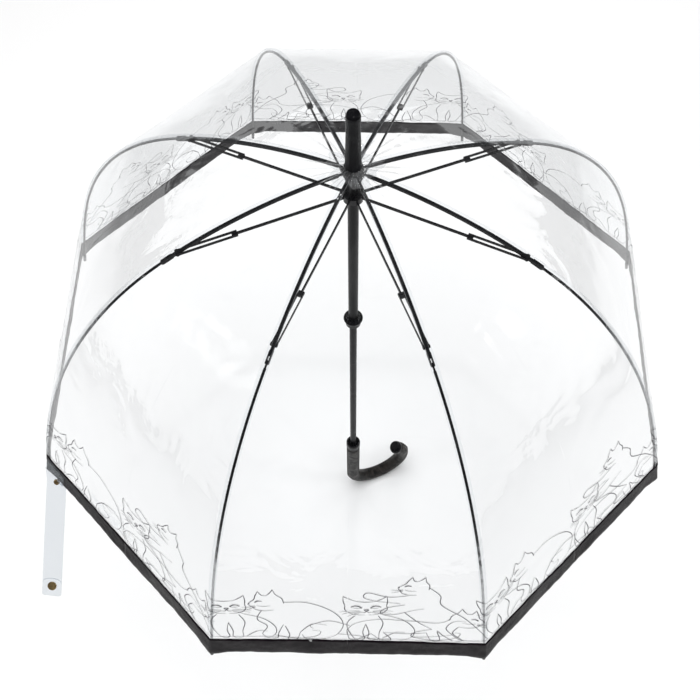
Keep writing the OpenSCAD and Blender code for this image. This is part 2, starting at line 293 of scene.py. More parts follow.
@dataclass(frozen=True)
class Cloth:
    """Satin binding or thin leather."""

    name: str
    weave: Weave
    colour: Triple
    # Lighter colour, laid as painted sheen on the satin's gather crests and on the leather's high spots.
    light: Triple

    def material(self) -> Material:
        """Builds the material."""
        s = Shader(self.name)
        builder = {Weave.SATIN: self.satin, Weave.LEATHER: self.leather}[self.weave]
        return s.close(builder(s))

    def satin(self, s: Shader) -> Socket:
        """Long floats across the band, over gathers where it is sewn, with painted sheen on the crests of the
        gathers.
        """
        at = s.coords(uv=True)
        warp = s.add("TexWave", {"Vector": at, "Scale": 420.0, "Distortion": 1.2, "Detail": 1.0})
        weft = s.add("TexWave", {"Vector": at, "Scale": 260.0}, bands_direction="Y")
        threads = s.math("MULTIPLY", warp.outputs[1], weft.outputs[1])
        gathers = s.noise(90.0, 3.0, 0.6, 0.4, s.coords((1.0, 0.25, 1.0), uv=True))
        normal = s.bump(threads, 0.00012, 0.7, s.bump(gathers, 0.0012, 0.8))
        # Painted sheen: the colour lightens on the crests of the gathers, where the satin would catch the
        # light.
        colour = s.blend(s.fit(gathers, 0.45, 0.72, 0.0, 1.0), self.colour, self.light)
        rough = s.fit(threads, 0.0, 1.0, 0.48, 0.3)
        inputs = {"Base Color": colour, "Roughness": rough, "Normal": normal}
        inputs |= {"Anisotropic": 0.5, "Specular IOR Level": 0.06}
        return s.add("BsdfPrincipled", inputs).outputs[0]

    def leather(self, s: Shader) -> Socket:
        """Pebbled grain whose colour is painted darker in the creases as shade and lighter brown on the high
        spots as sheen; the high spots are also smoother.
        """
        cell_inputs = {"Vector": s.coords(), "Scale": 620.0, "Randomness": 0.95}
        cells = s.add("TexVoronoi", cell_inputs, feature="F1")
        creases = s.noise(130.0, 5.0, 0.62, 0.8)
        fine = s.noise(1500.0, 3.0)
        pebbles = s.math("MULTIPLY", cells.outputs["Distance"], 0.7)
        height = s.math("ADD", pebbles, s.math("MULTIPLY", creases, 1.3))
        normal = s.bump(fine, 0.00008, 0.6, s.bump(height, 0.0006, 0.9))
        # Painted shade and sheen: the colour darkens in the creases and lightens to brown on the high spots
        # of the bump.
        colour = s.blend(s.fit(creases, 0.38, 0.66, 0.0, 1.0), self.colour, self.light)
        rough = s.fit(creases, 0.35, 0.7, 0.62, 0.34)
        inputs = {"Base Color": colour, "Roughness": rough, "Normal": normal}
        inputs |= {"Coat Weight": 0.06, "Coat Roughness": 0.2, "Specular IOR Level": 0.2}
        return s.add("BsdfPrincipled", inputs).outputs[0]


@dataclass(frozen=True)
class ClearFilm:
    """Clear soft film: tinted see-through body, gloss, crinkles and a slight haze."""

    name: str
    tint: Triple = (0.955, 0.961, 0.966)
    haze: float = 0.002
    crinkle: float = 0.0008
    crinkle_scale: float = 15.0
    milk: float = 0.03
    sheen: float = 0.36

    def material(self) -> Material:
        """Builds the material."""
        s = Shader(self.name)
        folds = s.noise(self.crinkle_scale, 2.0, 0.45, 1.2)
        ripples = s.noise(self.crinkle_scale * 6, 2.0, 0.5, 0.8)
        crushed = s.fit(s.noise(self.crinkle_scale * 0.4, 2.0, 0.5, 0.5), 0.5, 0.68, 0.02, 0.14)
        height = s.math("ADD", folds, s.math("MULTIPLY", ripples, crushed))
        normal = s.bump(height, self.crinkle * 8, 0.5)
        facing = s.add("LayerWeight", {"Blend": 0.2, "Normal": normal}).outputs["Fresnel"]
        cloud = s.fit(s.noise(14.0, 5.0, 0.7, 2.0), 0.52, 0.74, 0.0, self.milk)
        body = s.math("ADD", s.math("MULTIPLY", facing, self.sheen), cloud)
        cover = s.math("ADD", body, self.haze, clamp=True)
        gloss = s.add(
            "BsdfPrincipled",
            {"Base Color": (0.93, 0.94, 0.95, 1.0), "Metallic": 0.7, "Roughness": 0.09, "Normal": normal},
        ).outputs[0]
        clear = s.add("BsdfTransparent", {"Color": (*self.tint, 1.0)}).outputs[0]
        return s.close(s.add("MixShader", {"0": cover, "1": clear, "2": gloss}).outputs[0])


@dataclass(frozen=True)
class Ink:
    """Screen-printed line on film, slightly broken up."""

    name: str
    colour: Triple = (0.035, 0.035, 0.04)

    def material(self) -> Material:
        """Builds the material."""
        s = Shader(self.name)
        wear = s.noise(500.0, 3.0, 0.6)
        colour = s.blend(s.fit(wear, 0.4, 0.7, 0.0, 1.0), self.colour, tuple(4 * c for c in self.colour))
        inputs = {"Base Color": colour, "Roughness": s.fit(wear, 0.3, 0.7, 0.35, 0.6)}
        inputs["Normal"] = s.bump(wear, 0.00003)
        return s.close(s.add("BsdfPrincipled", inputs).outputs[0])


@dataclass(frozen=True)
class Stage:
    """Matt paint of the studio floor."""

    name: str
    colour: Triple = (0.93, 0.93, 0.93)

    def material(self) -> Material:
        """Builds the material."""
        s = Shader(self.name)
        inputs = {"Base Color": (*self.colour, 1.0), "Roughness": 0.9, "Specular IOR Level": 0.1}
        return s.close(s.add("BsdfPrincipled", inputs).outputs[0])


@dataclass
class Finishes:
    """One material for each finish of the umbrella."""

    shaft: Material = field(init=False)
    frame: Material = field(init=False)
    satin_black: Material = field(init=False)
    gloss_black: Material = field(init=False)
    bright: Material = field(init=False)
    brass: Material = field(init=False)
    leather: Material = field(init=False)
    thread: Material = field(init=False)
    binding: Material = field(init=False)
    film: Material = field(init=False)
    seam: Material = field(init=False)
    rosette: Material = field(init=False)
    strap: Material = field(init=False)
    ink: Material = field(init=False)

    def __post_init__(self) -> None:
        """Builds every material."""
        satin, leather = Weave.SATIN, Weave.LEATHER
        shaft = Paint("shaft_enamel", (0.003, 0.003, 0.004), (0.009, 0.009, 0.010), 0.26, shine=0.08)
        frame = Paint("frame_enamel", (0.002, 0.002, 0.003), (0.007, 0.007, 0.008), 0.22, shine=0.1)
        # The grip's lighter brown is painted sheen on the leather's high spots, with painted shade in the
        # creases.
        grip = Cloth("grip_leather", leather, (0.003, 0.003, 0.003), (0.034, 0.029, 0.026))
        # The binding's second colour is painted sheen on the crests of the satin's gathers.
        hem = Cloth("hem_satin", satin, (0.003, 0.001, 0.003), (0.010, 0.006, 0.009))
        gathered = ClearFilm("gathered_film", (0.9, 0.91, 0.92), 0.10, 0.0015, 120.0, 0.3, 0.8)
        welded = ClearFilm("welded_seam", (0.92, 0.93, 0.94), 0.006, 0.0005, 40.0, 0.02, 0.22)
        milky = ClearFilm("milky_film", (0.87, 0.885, 0.9), 0.008, 0.0006, 40.0, 0.02, 0.14)
        self.shaft = shaft.material()
        self.frame = frame.material()
        self.satin_black = Paint("sleeve_plastic", roughness=0.3, shine=0.1).material()
        self.gloss_black = Paint("gloss_plastic").material()
        self.bright = Metal("bright_wire", (0.62, 0.62, 0.63), (0.32, 0.32, 0.33), 0.24).material()
        self.brass = Metal("brass_stud", (0.62, 0.45, 0.2), (0.27, 0.19, 0.1), 0.3).material()
        self.leather = grip.material()
        self.thread = Paint("sewing_thread", (0.02, 0.018, 0.018), (0.07, 0.06, 0.06), 0.6).material()
        self.binding = hem.material()
        self.film = ClearFilm("clear_film").material()
        self.seam = welded.material()
        self.rosette = gathered.material()
        self.strap = milky.material()
        self.ink = Ink("print_ink").material()


# ---------------------------------------------------------------- mesh helpers


def make_piece(name: str, bm: Mesh, material: Material) -> Piece:
    """Turns a bmesh into a smooth piece of the scene.

    Args:
        name: Name of the piece.
        bm: The finished bmesh, which is freed.
        material: Its material.

    Returns:
        The new object, at the origin.
    """
    mesh = bpy.data.meshes.new(name)
    for face in bm.faces:
        face.smooth = True
    bm.to_mesh(mesh)
    bm.free()
    mesh.materials.append(material)
    piece = bpy.data.objects.new(name, mesh)
    bpy.context.scene.collection.objects.link(piece)
    return piece


def tidy_shell(bm: Mesh) -> None:
    """Merges doubled vertices and turns every face outwards."""
    bmesh.ops.remove_doubles(bm, verts=bm.verts, dist=1e-6)
    bmesh.ops.recalc_face_normals(bm, faces=bm.faces)


def soften(bm: Mesh, width: float) -> None:
    """Rounds every edge that is sharper than SHARP."""
    edges = [e for e in bm.edges if len(e.link_faces) == 2 and e.calc_face_angle(0.0) > SHARP]
    bmesh.ops.bevel(
        bm, geom=edges, offset=width, affect="EDGES", segments=3, profile=0.5, material=-1, clamp_overlap=True
    )


def lathe(profile: Sequence[Point], steps: int = 48, edge: float = 0.0) -> Mesh:
    """Spins an outline round the Z axis.

    Args:
        profile: Radius and height of each point, from one end of the outline to the other.
        steps: Number of steps in the full turn.
        edge: Radius given to the sharp edges.

    Returns:
        The closed bmesh.
    """
    bm = bmesh.new()
    verts = [bm.verts.new((r, 0.0, z)) for r, z in profile]
    edges = [bm.edges.new(pair) for pair in zip(verts, verts[1:])]
    bmesh.ops.spin(
        bm, geom=verts + edges, cent=(0, 0, 0), axis=UP, dvec=(0, 0, 0), angle=math.tau, steps=steps,
        use_merge=True,
    )
    tidy_shell(bm)
    if edge:
        soften(bm, edge)
    return bm


def draw_tube(bm: Mesh, frames: Sequence[Matrix], radius: float, sides: int) -> None:
    """Extrudes a circle through a row of frames and closes both ends.

    Args:
        bm: The bmesh that the tube joins.
        frames: A matrix at each station, whose Z axis runs along the tube.
        radius: Radius of the circle.
        sides: Number of sides.
    """
    ring = bmesh.ops.create_circle(bm, cap_ends=True, radius=radius, segments=sides, matrix=frames[0])
    edges = list({e for v in ring["verts"] for e in v.link_edges})
    for before, after in zip(frames, frames[1:]):
        made = bmesh.ops.extrude_edge_only(bm, edges=edges)["geom"]
        verts = [v for v in made if isinstance(v, bmesh.types.BMVert)]
        fresh = set(verts)
        edges = [e for e in made if isinstance(e, bmesh.types.BMEdge) and fresh.issuperset(e.verts)]
        bmesh.ops.transform(bm, matrix=after @ before.inverted(), verts=verts)
    bmesh.ops.holes_fill(bm, edges=edges, sides=0)


def draw_patch(bm: Mesh, place: Place, columns: int, rows: int, span: Point = (1.0, 1.0)) -> None:
    """Bends a flat grid into a sheet.

    Args:
        bm: The bmesh that the sheet joins.
        place: Gives the point for a place across, from -1 to 1, and along, from 0 to 1.
        columns: Faces across.
        rows: Faces along.
        span: Width and length of the sheet in metres, for its UV map.
    """
    uv = bm.loops.layers.uv.verify()
    verts = bmesh.ops.create_grid(bm, x_segments=columns, y_segments=rows, size=1.0)["verts"]
    own = set(verts)
    for face in {f for v in verts for f in v.link_faces if own.issuperset(f.verts)}:
        for loop in face.loops:
            x, y, _ = loop.vert.co
            loop[uv].uv = (x * span[0] / 2, (y + 1) * span[1] / 2)
    for vert in verts:
        vert.co = place(vert.co.x, (vert.co.y + 1) / 2)


def quarter_turn(radius: float, rise: float, at_r: float = 0.0, at_z: float = 0.0) -> list[Point]:
    """Points of a quarter of an ellipse, from its widest place up to its top, every 15 degrees."""
    angles = [math.radians(15 * k) for k in range(7)]
    return [(at_r + radius * math.cos(a), at_z + rise * math.sin(a)) for a in angles]


def upright_frame(position: Vector, along: Vector, side: Vector) -> Matrix:
    """A frame at a position whose Z axis runs along a direction and whose Y axis is nearest to side."""
    z = along.normalized()
    x = side.cross(z).normalized()
    y = z.cross(x)
    turn = Matrix((x, y, z)).transposed().to_4x4()
    return Matrix.Translation(position) @ turn


# ---------------------------------------------------------------- the dome's own geometry


@dataclass
class DomeLine:
    """The middle line of a rib and of the spring rod that carries on from it.

    Args:
        hinge: Radius and height of the rib's hinge.
    """

    hinge: Point
    rib_len: float = 0.206
    slope_in: float = 1.5
    slope_out: float = 27.0
    rod_len: float = 0.440
    slope_end: float = 76.3
    arcs: int = 6
    film_off: float = 0.0037

    @property
    def length(self) -> float:
        """Whole length from the hinge to the hem."""
        return self.rib_len + self.rod_len

    def node_slope(self, k: float) -> float:
        """Slope of the rod, in degrees, at the start of its arc number k."""
        return self.slope_out + (self.slope_end - self.slope_out) * (1 - (1 - k / self.arcs) ** 2)

    def slope(self, s: float) -> float:
        """Slope below level, in radians, at a distance along the line."""
        if s <= self.rib_len:
            return math.radians(self.slope_in + (self.slope_out - self.slope_in) * s / self.rib_len)
        step = self.rod_len / self.arcs
        k = min(int((s - self.rib_len) / step), self.arcs - 1)
        a, b = self.node_slope(k), self.node_slope(k + 1)
        return math.radians(a + (b - a) * ((s - self.rib_len) / step - k))

    def point(self, s: float) -> Point:
        """Radius and height at a distance along the line."""
        ends = [self.rib_len + self.rod_len * (k + 1) / self.arcs for k in range(self.arcs)]
        edges = [0.0, self.rib_len, *ends]
        r, z = self.hinge
        for start, end in zip(edges, edges[1:]):
            if s <= start:
                break
            a = self.slope(start + TINY)
            b = self.slope(min(s, end) - TINY)
            bow = (min(s, end) - start) / max(b - a, TINY)
            r += bow * (math.sin(b) - math.sin(a))
            z += bow * (math.cos(b) - math.cos(a))
        return r, z

    def surface(self, s: float, off: float) -> Point:
        """Radius and height of a point that stands off the line."""
        r, z = self.point(s)
        return r + off * math.sin(self.slope(s)), z + off * math.cos(self.slope(s))

    def half_chord(self, s: float) -> float:
        """Half the straight width of a panel at a distance along its ribs."""
        return self.surface(s, self.film_off)[0] * math.sin(HALF_STEP)


@dataclass
class Ribbing:
    """Where the eight ribs stand, and how a sheet lies between them."""

    line: DomeLine
    first_turn: float

    def turn(self, i: int) -> float:
        """Angle of rib i about the shaft, anticlockwise from +X."""
        return self.first_turn + (i - 1) * 2 * HALF_STEP

    def outward(self, i: int) -> Vector:
        """Level direction from the shaft to rib i."""
        return Vector((math.cos(self.turn(i)), math.sin(self.turn(i)), 0.0))

    def sideways(self, i: int) -> Vector:
        """Level direction across rib i, anticlockwise."""
        return UP.cross(self.outward(i))

    def normal(self, i: int, s: float) -> Vector:
        """Direction that points out of the dome, over rib i at a distance along it."""
        slope = self.line.slope(s)
        return self.outward(i) * math.sin(slope) + UP * math.cos(slope)

    def place(self, i: int, s: float, across: float, off: float) -> Vector:
        """A point of the film beside rib i.

        Args:
            i: Number of the rib, from 1.
            s: Distance along the rib.
            across: 0 on the rib, and -1 or 1 at the middle of the panel beside it.
            off: How far outside the middle line it lies.

        Returns:
            The point, in the row frame.
        """
        r, z = self.line.surface(s, off)
        reach = r * math.sin(HALF_STEP) * abs(across)
        inward = reach * math.sin(HALF_STEP)
        side = math.copysign(reach * math.cos(HALF_STEP), across)
        return self.outward(i) * (r - inward) + self.sideways(i) * side + UP * z

    def strip(self, i: int, s: float, width: float, off: float) -> Vector:
        """A point of a narrow strip that straddles rib i, width metres to its side."""
        return self.place(i, s, width / max(self.line.half_chord(s), 1e-4), off)


# ---------------------------------------------------------------- canopy


@dataclass
class Canopy:
    """Film, seams and hem binding, in eight sectors that fold with their ribs."""

    ribbing: Ribbing
    finishes: Finishes
    fold_reach: float = 0.020
    keep: float = 0.06
    crumple: float = 0.0016
    seam_width: float = 0.009
    seam_off: float = 0.0002
    band_height: float = 0.0350
    scallop: float = 0.0075
    scallop_reach: float = 0.16
    band_thickness: float = 0.0011
    band_bulge: float = 0.003
    band_off: float = 0.0002
    crown_start: float = 0.004
    seam_start: float = 0.02
    gather_reach: float = 0.09
    gathers: float = 26.0
    hem_calm: float = 0.05

    @property
    def line(self) -> DomeLine:
        """Shape of a rib."""
        return self.ribbing.line

    def crumpled(self, point: Vector, s: float, across: float, i: int) -> Vector:
        """Moves a point of the film in or out by its crumples, which die away on the ribs.

        Args:
            point: The point of the smooth film.
            s: Distance along the rib.
            across: Place across the sector.
            i: Number of the rib.

        Returns:
            The moved point.
        """
        slack = 1 - (1 - abs(across)) ** 3
        wave = noise.noise(point * 16) + 0.45 * noise.noise(point * 43)
        gathered = math.sin(self.gathers * self.ribbing.turn(i) + 9 * across)
        gather = max(0.0, 1 - s / self.gather_reach) * 0.7 * gathered
        hem_hold = min(1.0, max(0.0, (self.line.length - self.band_height - s) / self.hem_calm))
        return point + self.ribbing.normal(i, s) * (self.crumple * slack * hem_hold * (wave + gather))

    def squash(self, piece: Piece, i: int) -> None:
        """Gives a piece of sector i its own copy of its mesh."""
        across = tuple(self.ribbing.sideways(i))
        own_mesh(piece)

    def hem_edge(self, across: float) -> float:
        """Distance along the rib of the binding's lower edge, which rises beside each tip."""
        rise = min(1.0, abs(across) / self.scallop_reach)
        return self.line.length - self.scallop * (3 * rise**2 - 2 * rise**3)

    def film_sheet(self, i: int, kind: str) -> Piece:
        """Builds one film sector.

        Args:
            i: Number of the rib.
            kind: "crown" inside the flex joint or "skirt" outside it.

        Returns:
            The sheet.
        """
        crown = kind == "crown"
        fold, reach, end = self.line.rib_len, self.fold_reach, self.line.length

        def place(x: float, y: float) -> Vector:
            shared = fold + reach * abs(x)
            inner, outer = (self.crown_start, shared) if crown else (shared, self.hem_edge(x))
            s = inner + (outer - inner) * y
            return self.crumpled(self.ribbing.place(i, s, x, self.line.film_off), s, x, i)

        bm = bmesh.new()
        widest = 2 * self.line.half_chord(fold + reach if crown else end)
        length = fold + reach if crown else end - fold
        draw_patch(bm, place, 32, 26 if crown else 52, (widest, length))
        bmesh.ops.recalc_face_normals(bm, faces=bm.faces)
        piece = make_piece(f"{kind}_film_{i}", bm, self.finishes.film)
        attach(piece, f"rib_{i}" if crown else f"rod_{i}")
        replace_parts(piece, f"film_{kind}_{i}")
        self.squash(piece, i)
        return piece

    def seam_strip(self, i: int, kind: str) -> Piece:
        """Builds the welded double strip over one rib or rod."""
        crown = kind == "crown"
        fold, hem = self.line.rib_len, self.line.length - self.band_height
        start, end = (self.seam_start, fold) if crown else (fold, hem)

        def place(x: float, y: float) -> Vector:
            s = start + (end - start) * y
            return self.ribbing.strip(i, s, x * self.seam_width / 2, self.line.film_off + self.seam_off)

        bm = bmesh.new()
        draw_patch(bm, place, 4, 24 if crown else 44, (self.seam_width, end - start))
        bmesh.ops.recalc_face_normals(bm, faces=bm.faces)
        piece = make_piece(f"{kind}_seam_{i}", bm, self.finishes.seam)
        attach(piece, f"rib_{i}" if crown else f"rod_{i}")
        self.squash(piece, i)
        return piece

    def hem_band(self, i: int) -> Piece:
        """Builds the folded satin binding of one sector."""

        def place(x: float, y: float) -> Vector:
            low = self.hem_edge(x)
            top = self.line.length - self.scallop - self.band_height + self.band_bulge * (1 - abs(x)) ** 2
            s = top + (low - top) * y
            base = self.ribbing.place(i, s, x, self.line.film_off + self.band_off)
            pucker = 0.0006 * noise.noise(base * 130) + 0.0009 * noise.noise(base * 37)
            return base + self.ribbing.normal(i, s) * pucker

        bm = bmesh.new()
        draw_patch(bm, place, 96, 8, (2 * self.line.half_chord(self.line.length), self.band_height))
        bmesh.ops.recalc_face_normals(bm, faces=bm.faces)
        piece = make_piece(f"hem_band_{i}", bm, self.finishes.binding)
        wall = piece.modifiers.new("fold", "SOLIDIFY")
        wall.thickness = self.band_thickness
        wall.offset = 0.0
        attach(piece, f"rod_{i}")
        self.squash(piece, i)
        return piece

    def build(self) -> None:
        """Builds every sector."""
        for i in range(1, RIBS + 1):
            for kind in ("crown", "skirt"):
                self.film_sheet(i, kind)
                self.seam_strip(i, kind)
            self.hem_band(i)
            LOG.info("canopy sector %d: film, seams and binding", i)


# ---------------------------------------------------------------- line drawings on the film


@dataclass(frozen=True)
class Stroke:
    """A pen line through a few points, in millimetres on the panel, and its width."""

    points: tuple[Point, ...]
    width: float = 1.1
    closed: bool = False

    def samples(self, step: float = 2.2) -> list[Point]:
        """Smooth points along the line, about step millimetres apart."""
        pts = self.points
        count = len(pts)
        last = count if self.closed else count - 1
        out: list[Point] = []
        for k in range(last):
            near = range(k - 1, k + 3)
            picks = [p % count if self.closed else min(max(p, 0), last) for p in near]
            a, b, c, d = (Vector(pts[p]) for p in picks)
            pieces = max(2, round((c - b).length / step))
            for j in range(pieces):
                t = j / pieces
                bend, twist = 2 * a - 5 * b + 4 * c - d, 3 * b - a - 3 * c + d
                v = 2 * b + (c - a) * t + bend * t**2 + twist * t**3
                out.append((v.x / 2, v.y / 2))
        out.append(pts[0] if self.closed else pts[-1])
        return out


@dataclass(frozen=True)
class Cat:
    """A simple cat of pen lines.

    Args:
        x: Place of its middle, in millimetres from the middle of the panel.
        size: Height in millimetres.
        flip: -1 draws it mirrored.
    """

    x: float
    size: float
    flip: int = 1

    def draw(
        self, lines: Sequence[Sequence[Point]], width: float = 1.15, head: Head = (0.0, 0.0, 1.0, 0.0)
    ) -> Iterator[Stroke]:
        """Places lines on the panel.

        Args:
            lines: Points of each line, as shares of the cat's height, or of the head's half width.
            width: Width of the lines in millimetres.
            head: Middle, half width and turn of the head that the points belong to; its default is the body.

        Yields:
            The strokes.
        """
        cx, cy, r, turn = head
        cos, sin = math.cos(turn), math.sin(turn)
        for line in lines:
            moved = tuple(
                (
                    self.x + self.flip * self.size * (cx + r * (a * cos - b * sin)),
                    self.size * (cy + r * (a * sin + b * cos)),
                )
                for a, b in line
            )
            yield Stroke(moved, width, line[0] == line[-1] and len(line) > 3)

    def face(self, *head: float) -> Iterator[Stroke]:
        """A broad face seen from the front: its middle, half width and turn."""
        for side in (-1, 1):
            ear = [
                [(side, 0.25), (side * 1.06, 0.7), (side * 1.04, 1.12)],
                [(side * 1.04, 1.12), (side * 0.74, 0.86), (side * 0.44, 0.66)],
            ]
            jaw = [(side * 0.8, -0.42), (side * 0.42, -0.58), (side * 0.1, -0.6)]
            cheek = [(side, 0.25), (side * 1.02, -0.1), *jaw]
            yield from self.draw([*ear, cheek], head=head)
            lid = [[(side * 0.2, 0.06), (side * 0.4, 0.24), (side * 0.62, 0.22), (side * 0.74, 0.12)]]
            yield from self.draw(lid, 2.0, head)
            under = [[(side * 0.24, 0.04), (side * 0.45, 0.02), (side * 0.7, 0.1)]]
            whiskers = [
                [(side * 0.3, -0.26), (side * 0.7, -0.2), (side * 1.3, -0.3)],
                [(side * 0.3, -0.32), (side * 0.7, -0.34), (side * 1.2, -0.52)],
                [(side * 0.3, -0.38), (side * 0.6, -0.48), (side * 0.95, -0.74)],
            ]
            yield from self.draw(under + whiskers, 0.8, head)
            yield from self.draw([[(0.0, -0.2), (side * 0.1, -0.36), (side * 0.3, -0.32)]], 1.2, head)
        yield from self.draw([[(-0.44, 0.66), (0.0, 0.6), (0.44, 0.66)]], head=head)
        nose = [(-0.12, -0.1), (0.0, -0.07), (0.12, -0.1), (0.0, -0.2), (-0.12, -0.1)]
        yield from self.draw([nose], 1.6, head)

    def profile(self, *head: float) -> Iterator[Stroke]:
        """A head seen from its side, looking towards -X: its middle, half width and turn."""
        lines = [
            [(0.95, 0.0), (0.9, 0.5), (0.62, 0.86), (0.5, 1.3)],
            [(0.5, 1.3), (0.3, 1.0), (0.1, 0.8)],
            [(0.1, 0.8), (-0.14, 0.84), (-0.3, 1.2)],
            [(-0.3, 1.2), (-0.5, 0.8), (-0.62, 0.46), (-1.0, 0.06), (-0.96, -0.12)],
            [(-0.96, -0.12), (-0.8, -0.3), (-0.62, -0.32)],
            [(-0.8, -0.3), (-0.66, -0.56), (-0.2, -0.72), (0.3, -0.66)],
        ]
        yield from self.draw(lines, head=head)
        eye_and_nose = [[(-0.62, 0.16), (-0.44, 0.3), (-0.2, 0.26)], [(-1.0, 0.06), (-0.9, 0.02)]]
        yield from self.draw(eye_and_nose, 2.0, head)
        whiskers = [
            [(-0.66, -0.16), (-0.98, -0.3), (-1.4, -0.3)],
            [(-0.64, -0.24), (-0.94, -0.46), (-1.3, -0.62)],
            [(-0.56, -0.16), (-0.2, -0.26), (0.2, -0.2)],
        ]
        yield from self.draw(whiskers, 0.8, head)

    def sitting(self) -> Iterator[Stroke]:
        """Facing forwards on its haunches, with its tail along the ground."""
        yield from self.face(0.0, 0.76, 0.23, 0.06)
        lines = [
            [(-0.12, 0.6), (-0.2, 0.46), (-0.2, 0.26), (-0.13, 0.04)],
            [(-0.13, 0.04), (-0.06, 0.0), (-0.01, 0.05), (-0.03, 0.2), (0.0, 0.4)],
            [(0.0, 0.4), (0.04, 0.2), (0.03, 0.05), (0.09, 0.0), (0.16, 0.04)],
            [(0.14, 0.6), (0.2, 0.42), (0.16, 0.2), (0.16, 0.04)],
            [(0.2, 0.62), (0.42, 0.52), (0.56, 0.3), (0.54, 0.1), (0.4, 0.0)],
            [(0.2, 0.06), (0.34, 0.2), (0.46, 0.2)],
            [(0.54, 0.1), (0.8, 0.02), (1.04, 0.08), (1.1, 0.2), (1.0, 0.22)],
        ]
        yield from self.draw(lines)

    def loafing(self) -> Iterator[Stroke]:
        """Hunched and seen from its side, with its front paw drawn up."""
        yield from self.profile(-0.28, 0.8, 0.2, 0.1)
        lines = [
            [(-0.1, 0.84), (0.16, 0.84), (0.42, 0.66), (0.54, 0.4), (0.48, 0.14), (0.34, 0.02)],
            [(-0.34, 0.66), (-0.4, 0.46), (-0.3, 0.3), (-0.36, 0.12), (-0.3, 0.02)],
            [(-0.3, 0.02), (-0.2, 0.02), (-0.18, 0.14), (-0.12, 0.34)],
            [(-0.1, 0.3), (-0.06, 0.1), (-0.08, 0.0), (0.02, 0.0), (0.06, 0.16)],
            [(0.06, 0.16), (0.2, 0.36), (0.36, 0.34)],
            [(0.34, 0.02), (0.14, 0.0), (0.08, 0.1)],
            [(0.48, 0.14), (0.72, 0.1), (0.9, 0.02), (1.1, 0.04)],
        ]
        yield from self.draw(lines)

    def reaching(self) -> Iterator[Stroke]:
        """Up on its haunches, batting with its front paws."""
        yield from self.profile(-0.1, 0.86, 0.13, -0.15)
        lines = [
            [(0.02, 0.88), (0.12, 0.76), (0.14, 0.62), (0.34, 0.42), (0.5, 0.18), (0.58, 0.02)],
            [(-0.14, 0.76), (-0.28, 0.74), (-0.46, 0.8), (-0.5, 0.73), (-0.4, 0.68), (-0.2, 0.64)],
            [(-0.16, 0.62), (-0.3, 0.58), (-0.36, 0.5), (-0.28, 0.46), (-0.12, 0.52), (0.0, 0.56)],
            [(-0.16, 0.5), (-0.04, 0.34), (0.08, 0.22)],
            [(0.08, 0.22), (-0.06, 0.16), (-0.08, 0.08), (0.08, 0.08), (0.26, 0.12)],
            [(0.26, 0.12), (0.2, 0.24), (0.26, 0.36), (0.36, 0.36)],
            [(0.26, 0.12), (0.36, 0.02), (0.58, 0.02)],
        ]
        yield from self.draw(lines)

    def walking(self) -> Iterator[Stroke]:
        """Low on its feet and seen from its side, with a long back."""
        yield from self.profile(-0.86, 0.72, 0.3, 0.12)
        lines = [
            [(-0.6, 0.8), (-0.4, 0.66), (0.1, 0.72), (0.6, 0.74), (0.96, 0.6), (1.1, 0.36)],
            [(-0.74, 0.52), (-0.66, 0.3), (-0.84, 0.04), (-0.68, 0.02)],
            [(-0.68, 0.02), (-0.5, 0.22), (-0.4, 0.36), (-0.46, 0.04), (-0.32, 0.02), (-0.22, 0.3)],
            [(-0.22, 0.3), (0.1, 0.26), (0.5, 0.3)],
            [(0.5, 0.3), (0.36, 0.04), (0.52, 0.02), (0.7, 0.24)],
            [(0.7, 0.24), (0.92, 0.04), (1.06, 0.04), (1.1, 0.36)],
            [(1.06, 0.52), (1.4, 0.66), (1.7, 0.5), (1.66, 0.38)],
        ]
        yield from self.draw(lines)


